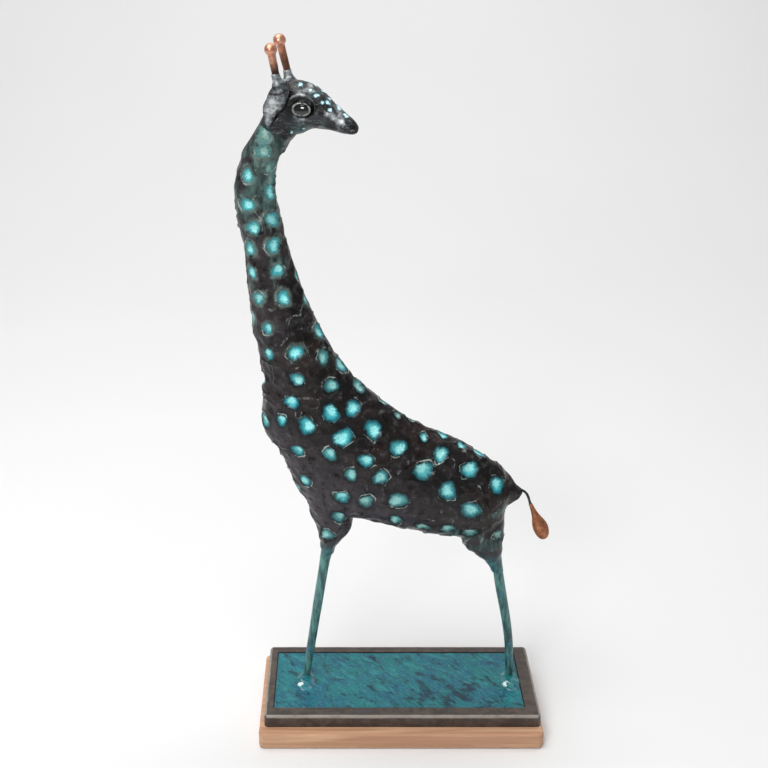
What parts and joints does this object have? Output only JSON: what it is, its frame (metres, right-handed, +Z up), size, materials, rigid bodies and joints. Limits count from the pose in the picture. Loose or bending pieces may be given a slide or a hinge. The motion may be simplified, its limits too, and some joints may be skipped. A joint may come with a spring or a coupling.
{
  "type": "giraffe statue",
  "caption": "Free-standing giraffe sculpture of hammered sheet on rod legs, head turned back over its body, on a patinated plate set in a slab on a wooden plinth.",
  "frame": {"origin": "middle of the plinth's flat underside, on the supporting surface", "axes": "+Z up; +X along the plinth, from the chest end to the tail end; +Y across it, towards the giraffe's right flank"},
  "size_m": [0.2111, 0.094, 0.479],
  "materials": {
    "wood": "pale sanded hardwood board with a pinkish grain, thin clear satin lacquer",
    "dark_slab": "dark brown to black patinated slab with a worn pale edge",
    "patina_plate": "sheet with streaky teal verdigris over a dark patina, satin lacquer",
    "leg_patina": "rod with a teal and dark patina, satin lacquer",
    "steel": "plain steel, out of sight",
    "body_patina": "thin hammered copper sheet, near-black patina with turquoise verdigris in its dents and worn silvery ridges, satin lacquer",
    "head_patina": "hammered copper sheet with a dark grey-black satin patina and small pale flecks",
    "bezel_metal": "worn silvery rim",
    "eye_gloss": "glossy black bead",
    "bare_copper": "bare orange-brown copper, satin on the tail tuft and bright on the balls"
  },
  "bodies": {
    "root": {"wood_plinth": "wood", "dark_slab": "dark_slab", "patina_plate": "patina_plate", "front_foot_weld": "patina_plate", "rear_foot_weld": "patina_plate", "front_leg": "leg_patina", "rear_leg": "leg_patina", "leg_nuts": "steel", "leg_washers": "steel", "armature": "steel", "neck_left_shell": "body_patina", "neck_right_shell": "body_patina", "trunk_left_shell": "body_patina", "trunk_right_shell": "body_patina", "head": "head_patina", "right_ear": "head_patina", "left_ear": "head_patina", "right_eye_bezel": "bezel_metal", "left_eye_bezel": "bezel_metal", "right_eye": "eye_gloss", "left_eye": "eye_gloss", "right_ossicone": "bare_copper", "left_ossicone": "bare_copper", "tail_wire": "leg_patina", "tail_tuft": "bare_copper"}
  },
  "joints": []
}
